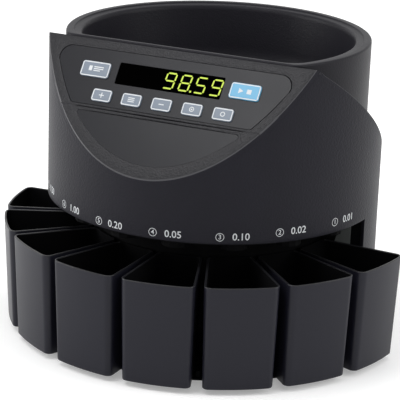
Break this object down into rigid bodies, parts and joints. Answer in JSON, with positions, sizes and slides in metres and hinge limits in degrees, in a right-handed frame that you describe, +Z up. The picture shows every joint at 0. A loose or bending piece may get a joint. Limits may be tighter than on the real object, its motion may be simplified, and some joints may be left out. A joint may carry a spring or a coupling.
{
  "type": "coin sorting machine",
  "caption": "Counter-top coin sorter: an open hopper over a spinning track, a sloping control panel with keys and a display, and a fan of pull-out coin cups.",
  "frame": {"origin": "middle of the machine's bounding box on the table, under its feet", "axes": "+Z up; -Y towards the operator, where the control panel faces; +X to the operator's right"},
  "size_m": [0.3714, 0.3388, 0.266],
  "materials": {
    "charcoal_body": "fine matt grain",
    "black_plastic": "satin",
    "cup_plastic": "satin",
    "rubber": "matt",
    "panel_plastic": "satin",
    "overlay_film": "smooth satin film",
    "key_grey": "satin",
    "key_blue": "satin",
    "smoked_window": "polished",
    "display_block": "satin",
    "circuit_board": "lacquered",
    "steel": "bright zinc plate",
    "bearing_bronze": "turned",
    "acetal": "satin",
    "motor_can": "drawn can",
    "laminations": "varnished"
  },
  "bodies": {
    "machine": {"base_tray": "black_plastic", "chute_ring": "black_plastic", "control_panel": "panel_plastic", "cup_bay_wall": "black_plastic", "display_module": "display_block", "display_window": "smoked_window", "foot_1": "rubber", "foot_2": "rubber", "foot_3": "rubber", "foot_4": "rubber", "front_board": "circuit_board", "gear_motor": "motor_can", "guide_ring": "black_plastic", "hopper": "charcoal_body", "key_mat": "rubber", "keypad_overlay": "overlay_film", "lower_bearing": "bearing_bronze", "lower_inlay": "panel_plastic", "main_board": "circuit_board", "main_housing": "charcoal_body", "mechanism_deck": "black_plastic", "motor_bracket": "steel", "power_inlet": "black_plastic", "power_switch": "black_plastic", "sensor_board": "circuit_board", "service_panel": "charcoal_body", "service_screw_1": "steel", "service_screw_2": "steel", "service_screw_3": "steel", "service_screw_4": "steel", "sorting_plate": "steel", "track_cover": "black_plastic", "transformer": "laminations", "upper_bearing": "bearing_bronze"},
    "rotor": {"main_shaft": "steel", "transport_wheel": "acetal", "feed_cone": "black_plastic", "hub_nut": "steel", "drive_gear": "acetal", "retaining_ring": "steel"},
    "pinion": {"motor_pinion": "acetal"},
    "report_button": {"report_button": "key_grey"},
    "start_stop_button": {"start_stop_button": "key_blue"},
    "function_button_1": {"function_button_1": "key_grey"},
    "function_button_2": {"function_button_2": "key_grey"},
    "function_button_3": {"function_button_3": "key_grey"},
    "function_button_4": {"function_button_4": "key_grey"},
    "function_button_5": {"function_button_5": "key_grey"},
    "coin_cup_1": {"coin_cup_1": "cup_plastic"},
    "coin_cup_2": {"coin_cup_2": "cup_plastic"},
    "coin_cup_3": {"coin_cup_3": "cup_plastic"},
    "coin_cup_4": {"coin_cup_4": "cup_plastic"},
    "coin_cup_5": {"coin_cup_5": "cup_plastic"},
    "coin_cup_6": {"coin_cup_6": "cup_plastic"},
    "coin_cup_7": {"coin_cup_7": "cup_plastic"},
    "coin_cup_8": {"coin_cup_8": "cup_plastic"},
    "power_rocker": {"power_rocker": "rubber"}
  },
  "joints": [
    {"name": "rotor_spin", "type": "hinge", "parent": "machine", "child": "rotor", "pos_m": [0, 0.01686, 0.1273], "axis": [0, 0, 1], "continuous": true},
    {"name": "pinion_spin", "type": "hinge", "parent": "machine", "child": "pinion", "pos_m": [0.054, 0.01686, 0.096], "axis": [0, 0, 1], "continuous": true},
    {"name": "report_press", "type": "slide", "parent": "machine", "child": "report_button", "axis": [0, 0.8117, -0.5841], "range_m": [0, 0.0008], "stiffness_N_per_m": 400, "springref_m": -0.0004},
    {"name": "start_stop_press", "type": "slide", "parent": "machine", "child": "start_stop_button", "axis": [0, 0.8117, -0.5841], "range_m": [0, 0.0008], "stiffness_N_per_m": 400, "springref_m": -0.0004},
    {"name": "function_1_press", "type": "slide", "parent": "machine", "child": "function_button_1", "axis": [0, 0.8117, -0.5841], "range_m": [0, 0.0008], "stiffness_N_per_m": 400, "springref_m": -0.0004},
    {"name": "function_2_press", "type": "slide", "parent": "machine", "child": "function_button_2", "axis": [0, 0.8117, -0.5841], "range_m": [0, 0.0008], "stiffness_N_per_m": 400, "springref_m": -0.0004},
    {"name": "function_3_press", "type": "slide", "parent": "machine", "child": "function_button_3", "axis": [0, 0.8117, -0.5841], "range_m": [0, 0.0008], "stiffness_N_per_m": 400, "springref_m": -0.0004},
    {"name": "function_4_press", "type": "slide", "parent": "machine", "child": "function_button_4", "axis": [0, 0.8117, -0.5841], "range_m": [0, 0.0008], "stiffness_N_per_m": 400, "springref_m": -0.0004},
    {"name": "function_5_press", "type": "slide", "parent": "machine", "child": "function_button_5", "axis": [0, 0.8117, -0.5841], "range_m": [0, 0.0008], "stiffness_N_per_m": 400, "springref_m": -0.0004},
    {"name": "cup_1_pull", "type": "slide", "parent": "machine", "child": "coin_cup_1", "axis": [0.9744, -0.225, 0], "range_m": [0, 0.075]},
    {"name": "cup_2_pull", "type": "slide", "parent": "machine", "child": "coin_cup_2", "axis": [0.8192, -0.5736, 0], "range_m": [0, 0.075]},
    {"name": "cup_3_pull", "type": "slide", "parent": "machine", "child": "coin_cup_3", "axis": [0.5446, -0.8387, 0], "range_m": [0, 0.075]},
    {"name": "cup_4_pull", "type": "slide", "parent": "machine", "child": "coin_cup_4", "axis": [0.1908, -0.9816, 0], "range_m": [0, 0.075]},
    {"name": "cup_5_pull", "type": "slide", "parent": "machine", "child": "coin_cup_5", "axis": [-0.1908, -0.9816, 0], "range_m": [0, 0.075]},
    {"name": "cup_6_pull", "type": "slide", "parent": "machine", "child": "coin_cup_6", "axis": [-0.5446, -0.8387, 0], "range_m": [0, 0.075]},
    {"name": "cup_7_pull", "type": "slide", "parent": "machine", "child": "coin_cup_7", "axis": [-0.8192, -0.5736, 0], "range_m": [0, 0.075]},
    {"name": "cup_8_pull", "type": "slide", "parent": "machine", "child": "coin_cup_8", "axis": [-0.9744, -0.225, 0], "range_m": [0, 0.075]},
    {"name": "power_switch_rock", "type": "hinge", "parent": "machine", "child": "power_rocker", "pos_m": [0.026, 0.16606, 0.042], "axis": [1, 0, 0], "range_deg": [0, 16]}
  ],
  "couplings": [
    {"joint": "pinion_spin", "follows": "rotor_spin", "ratio": -4}
  ]
}
